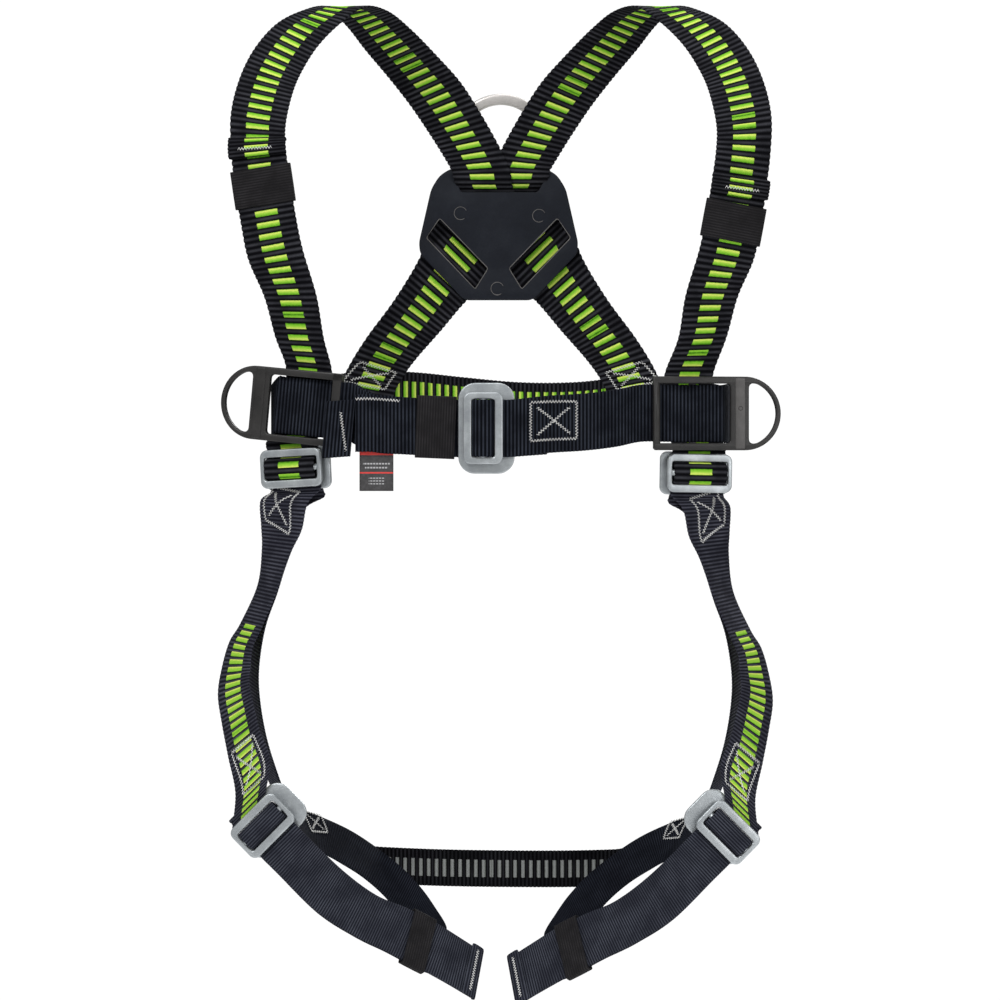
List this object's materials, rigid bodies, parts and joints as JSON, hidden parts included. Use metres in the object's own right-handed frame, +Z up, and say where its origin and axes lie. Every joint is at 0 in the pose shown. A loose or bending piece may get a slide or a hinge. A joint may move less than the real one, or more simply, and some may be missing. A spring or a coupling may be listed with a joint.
{
  "type": "full-body work harness",
  "caption": "Full-body webbing harness for climbing and rigging work, with shoulder, waist and leg straps, a dorsal D, side attachment plates and adjusters.",
  "frame": {"origin": "middle of the waist loop, inside the wearer's waist", "axes": "+Z up along the wearer's spine, the wearer faces -Y, +X to the wearer's left"},
  "size_m": [0.4449, 0.2468, 0.7993],
  "materials": {
    "ladder_webbing": "black ribbed polyester webbing with a lime green ladder",
    "plain_webbing": "black ribbed polyester webbing",
    "reflective_webbing": "black webbing with grey reflective bars",
    "elastic": "finely ribbed black elastic",
    "label": "printed label cloth",
    "dorsal_plastic": "moulded, slightly worn",
    "ring_alloy": "satin",
    "side_plate_metal": "dark satin coating",
    "zinc_steel": "zinc plated, satin"
  },
  "bodies": {
    "harness": {"shoulder_strap_left": "ladder_webbing", "shoulder_strap_right": "ladder_webbing", "back_waist_strap": "ladder_webbing", "hip_strap_left": "plain_webbing", "belt_left": "plain_webbing", "belt_right": "plain_webbing", "leg_strap_left": "ladder_webbing", "leg_strap_right": "ladder_webbing", "thigh_strap_left": "plain_webbing", "thigh_strap_right": "plain_webbing", "sub_pelvic_strap": "reflective_webbing", "label_tag": "label", "dorsal_plate": "dorsal_plastic", "belt_buckle_outer": "zinc_steel", "hip_adjuster_left_rear": "zinc_steel", "hip_adjuster_right_rear": "zinc_steel", "leg_buckle_left_outer": "zinc_steel", "leg_buckle_right_outer": "zinc_steel"},
    "dorsal_d": {"dorsal_d_ring": "ring_alloy"},
    "side_d_left": {"side_plate_left": "side_plate_metal"},
    "side_d_right": {"side_plate_right": "side_plate_metal"},
    "belt_buckle": {"belt_buckle_inner": "zinc_steel"},
    "hip_adjuster_left": {"hip_adjuster_left_front": "zinc_steel"},
    "hip_adjuster_right": {"hip_adjuster_right_front": "zinc_steel"},
    "leg_buckle_left": {"leg_buckle_left_inner": "zinc_steel"},
    "leg_buckle_right": {"leg_buckle_right_inner": "zinc_steel"},
    "shoulder_keeper_left": {"shoulder_keeper_left": "elastic"},
    "shoulder_keeper_right": {"shoulder_keeper_right": "elastic"},
    "belt_keeper": {"belt_keeper": "elastic"},
    "thigh_keeper_left": {"thigh_keeper_left": "elastic"},
    "thigh_keeper_right": {"thigh_keeper_right": "elastic"}
  },
  "joints": [
    {"name": "dorsal_d_pivot", "type": "hinge", "parent": "harness", "child": "dorsal_d", "pos_m": [0, 0.11, 0.174], "axis": [-1, 0, 0], "range_deg": [0, 90]},
    {"name": "side_d_left_swing", "type": "hinge", "parent": "harness", "child": "side_d_left", "pos_m": [-0.128, -0.104, 0.006], "axis": [0.0889, -0.0359, 0.9954], "range_deg": [0, 40]},
    {"name": "side_d_right_slide", "type": "slide", "parent": "harness", "child": "side_d_right", "axis": [0.9781, 0.2079, 0], "range_m": [-0.012, 0.012]},
    {"name": "belt_buckle_tilt", "type": "hinge", "parent": "harness", "child": "belt_buckle", "pos_m": [-0.014, -0.124, -0.008], "axis": [0, 0, -1], "range_deg": [0, 12]},
    {"name": "hip_adjuster_left_tilt", "type": "hinge", "parent": "harness", "child": "hip_adjuster_left", "pos_m": [-0.165, -0.086, -0.039], "axis": [0.9259, -0.3741, 0.0523], "range_deg": [0, 10]},
    {"name": "hip_adjuster_right_tilt", "type": "hinge", "parent": "harness", "child": "hip_adjuster_right", "pos_m": [0.156, -0.09, -0.043], "axis": [0.978, 0.2079, -0.0175], "range_deg": [0, 10]},
    {"name": "leg_buckle_left_tilt", "type": "hinge", "parent": "harness", "child": "leg_buckle_left", "pos_m": [-0.188, -0.07, -0.321], "axis": [-0.7002, 0.0984, -0.7071], "range_deg": [0, 10]},
    {"name": "leg_buckle_right_tilt", "type": "hinge", "parent": "harness", "child": "leg_buckle_right", "pos_m": [0.179, -0.072, -0.326], "axis": [-0.7002, -0.0984, 0.7071], "range_deg": [0, 10]},
    {"name": "shoulder_keeper_left_slide", "type": "slide", "parent": "harness", "child": "shoulder_keeper_left", "axis": [-0.1465, 0.0183, 0.989], "range_m": [-0.006, 0.006]},
    {"name": "shoulder_keeper_right_slide", "type": "slide", "parent": "harness", "child": "shoulder_keeper_right", "axis": [0.1821, 0, 0.9833], "range_m": [-0.006, 0.006]},
    {"name": "belt_keeper_slide", "type": "slide", "parent": "harness", "child": "belt_keeper", "axis": [0.9991, 0, -0.0416], "range_m": [-0.012, 0]},
    {"name": "thigh_keeper_left_slide", "type": "slide", "parent": "harness", "child": "thigh_keeper_left", "axis": [-0.8057, -0.3879, 0.4476], "range_m": [0, 0.006]},
    {"name": "thigh_keeper_right_slide", "type": "slide", "parent": "harness", "child": "thigh_keeper_right", "axis": [0.8057, -0.3879, 0.4476], "range_m": [0, 0.006]}
  ]
}
